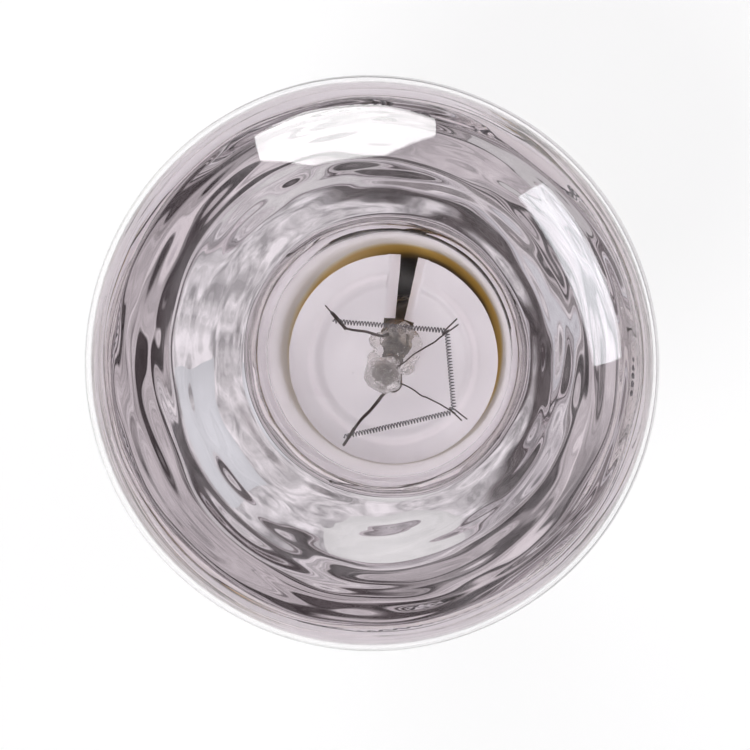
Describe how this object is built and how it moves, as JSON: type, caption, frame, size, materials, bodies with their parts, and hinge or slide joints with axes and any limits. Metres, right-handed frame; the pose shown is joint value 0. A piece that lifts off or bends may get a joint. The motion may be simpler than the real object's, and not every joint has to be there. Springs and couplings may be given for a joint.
{
  "type": "infrared heat lamp bulb",
  "caption": "Infrared reflector lamp with a clear front face, a mirrored bowl, a horseshoe filament on hooked wires and a screw cap.",
  "frame": {"origin": "middle of the flat end of the centre contact's solder, the lowest point of the screw cap", "axes": "+Z runs along the lamp's axis from the cap to the clear face; the filament's horseshoe opens towards -X"},
  "size_m": [0.125, 0.125, 0.17],
  "materials": {
    "clear_glass": "gloss",
    "mirror_film": "mirror",
    "bright_sheet": "satin",
    "filament_wire": "satin",
    "support_wire": "satin",
    "copper_wire": "satin",
    "cap_brass": "satin",
    "black_glass": "gloss",
    "solder": "satin",
    "cement": "matte"
  },
  "bodies": {
    "root": {"bulb_envelope": "clear_glass", "mirror_film": "mirror_film", "heat_shield": "bright_sheet", "glass_stem": "clear_glass", "filament": "filament_wire", "filament_support_1": "support_wire", "filament_support_2": "support_wire", "inner_lead_1": "support_wire", "inner_lead_2": "support_wire", "seal_wire_1": "copper_wire", "seal_wire_2": "copper_wire", "outer_lead_1": "copper_wire", "outer_lead_2": "copper_wire", "screw_shell": "cap_brass", "insulator": "black_glass", "centre_contact": "cap_brass", "centre_solder": "solder", "rim_solder": "solder", "cap_cement": "cement"}
  },
  "joints": []
}
